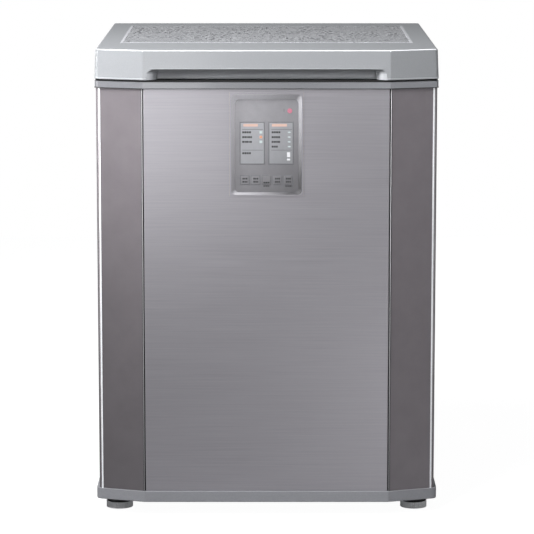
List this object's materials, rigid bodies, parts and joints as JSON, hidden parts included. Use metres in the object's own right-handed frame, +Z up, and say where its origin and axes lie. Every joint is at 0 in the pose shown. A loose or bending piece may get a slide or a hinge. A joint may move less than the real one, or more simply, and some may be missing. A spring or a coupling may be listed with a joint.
{
  "type": "kimchi refrigerator",
  "caption": "Top-opening chest refrigerator with a hinged lid, a faceted front with corner pillars, a recessed control panel and lidded food tubs inside.",
  "frame": {"origin": "middle of the footprint on the floor", "axes": "+X to the right seen from the front, the front faces -Y, +Z up"},
  "size_m": [0.6, 0.6585, 0.82],
  "materials": {
    "painted_sheet": "satin silver paint",
    "brushed_front": "horizontal brush",
    "pillar_gloss": "glossy mauve grey",
    "frame_plastic": "satin grey",
    "skirt_plastic": "satin grey",
    "galvanised": "galvanised",
    "liner_aluminium": "embossed",
    "foam": "rigid foam",
    "copper_tube": "drawn",
    "white_plastic": "moulded",
    "bezel_plastic": "satin silver",
    "plate_plastic": "smoked grey",
    "window_plastic": "frosted",
    "lamp": "lit amber",
    "circuit_board": "lacquered",
    "key_plastic": "satin",
    "black_steel": "black lacquer",
    "black_plastic": "moulded",
    "black_rubber": "matt",
    "grille_plastic": "moulded",
    "zinc_steel": "zinc plated",
    "tub_plastic": "translucent white",
    "tub_lid_plastic": "moulded green grey",
    "lid_paint": "silver paint",
    "decor_print": "speckled silver",
    "gasket_rubber": "matt",
    "foot_plastic": "moulded"
  },
  "bodies": {
    "cabinet": {"side_panel_left": "painted_sheet", "side_panel_right": "painted_sheet", "back_panel": "galvanised", "front_panel": "brushed_front", "corner_pillar_left": "pillar_gloss", "corner_pillar_right": "pillar_gloss", "top_frame": "frame_plastic", "base_skirt": "skirt_plastic", "bottom_plate": "galvanised", "inner_liner": "liner_aluminium", "cabinet_insulation": "foam", "evaporator_tube": "copper_tube", "temperature_sensor": "white_plastic", "control_bezel": "bezel_plastic", "control_plate": "plate_plastic", "display_windows": "window_plastic", "indicator_lamps": "lamp", "control_board": "circuit_board", "main_board_box": "white_plastic", "compressor": "black_steel", "compressor_cover": "black_plastic", "compressor_grommets": "black_rubber", "condenser_coil": "black_steel", "fan_shroud": "black_plastic", "fan_motor": "zinc_steel", "filter_dryer": "copper_tube", "refrigerant_pipes": "copper_tube", "rear_grille": "grille_plastic", "grille_screws": "zinc_steel", "cord_gland": "black_rubber", "hinge_brackets": "zinc_steel", "hinge_pins": "zinc_steel", "hinge_springs": "zinc_steel", "hinge_screws": "zinc_steel", "roller_brackets": "zinc_steel", "roller_axles": "zinc_steel", "foot_nuts": "zinc_steel", "tub_front_left": "tub_plastic", "tub_front_right": "tub_plastic", "tub_rear_left": "tub_plastic", "tub_rear_right": "tub_plastic", "tub_lids_front": "tub_lid_plastic", "tub_lids_rear": "tub_lid_plastic"},
    "lid": {"lid_cover": "lid_paint", "lid_decor_panel": "decor_print", "lid_insulation": "foam", "lid_liner": "white_plastic", "lid_gasket": "gasket_rubber", "hinge_leaves": "zinc_steel"},
    "key_1": {"key_1": "key_plastic"},
    "key_2": {"key_2": "key_plastic"},
    "key_3": {"key_3": "key_plastic"},
    "key_4": {"key_4": "key_plastic"},
    "key_5": {"key_5": "key_plastic"},
    "fan": {"fan_blade": "black_plastic"},
    "foot_left": {"foot_left": "foot_plastic"},
    "foot_right": {"foot_right": "foot_plastic"},
    "roller_left": {"roller_left": "black_rubber"},
    "roller_right": {"roller_right": "black_rubber"}
  },
  "joints": [
    {"name": "lid_hinge", "type": "hinge", "parent": "cabinet", "child": "lid", "pos_m": [0, 0.32275, 0.767], "axis": [-1, 0, 0], "range_deg": [0, 80]},
    {"name": "key_1_press", "type": "slide", "parent": "cabinet", "child": "key_1", "axis": [0, 1, 0], "range_m": [0, 0.0008], "stiffness_N_per_m": 400},
    {"name": "key_2_press", "type": "slide", "parent": "cabinet", "child": "key_2", "axis": [0, 1, 0], "range_m": [0, 0.0008], "stiffness_N_per_m": 400},
    {"name": "key_3_press", "type": "slide", "parent": "cabinet", "child": "key_3", "axis": [0, 1, 0], "range_m": [0, 0.0008], "stiffness_N_per_m": 400},
    {"name": "key_4_press", "type": "slide", "parent": "cabinet", "child": "key_4", "axis": [0, 1, 0], "range_m": [0, 0.0008], "stiffness_N_per_m": 400},
    {"name": "key_5_press", "type": "slide", "parent": "cabinet", "child": "key_5", "axis": [0, 1, 0], "range_m": [0, 0.0008], "stiffness_N_per_m": 400},
    {"name": "fan_spin", "type": "hinge", "parent": "cabinet", "child": "fan", "pos_m": [-0.07, 0.19575, 0.135], "axis": [1, 0, 0], "continuous": true},
    {"name": "foot_left_screw", "type": "slide", "parent": "cabinet", "child": "foot_left", "axis": [0, 0, -1], "range_m": [0, 0.012]},
    {"name": "foot_right_screw", "type": "slide", "parent": "cabinet", "child": "foot_right", "axis": [0, 0, -1], "range_m": [0, 0.012]},
    {"name": "roller_left_spin", "type": "hinge", "parent": "cabinet", "child": "roller_left", "pos_m": [-0.24, 0.27075, 0.016], "axis": [1, 0, 0], "continuous": true},
    {"name": "roller_right_spin", "type": "hinge", "parent": "cabinet", "child": "roller_right", "pos_m": [0.24, 0.27075, 0.016], "axis": [1, 0, 0], "continuous": true}
  ]
}
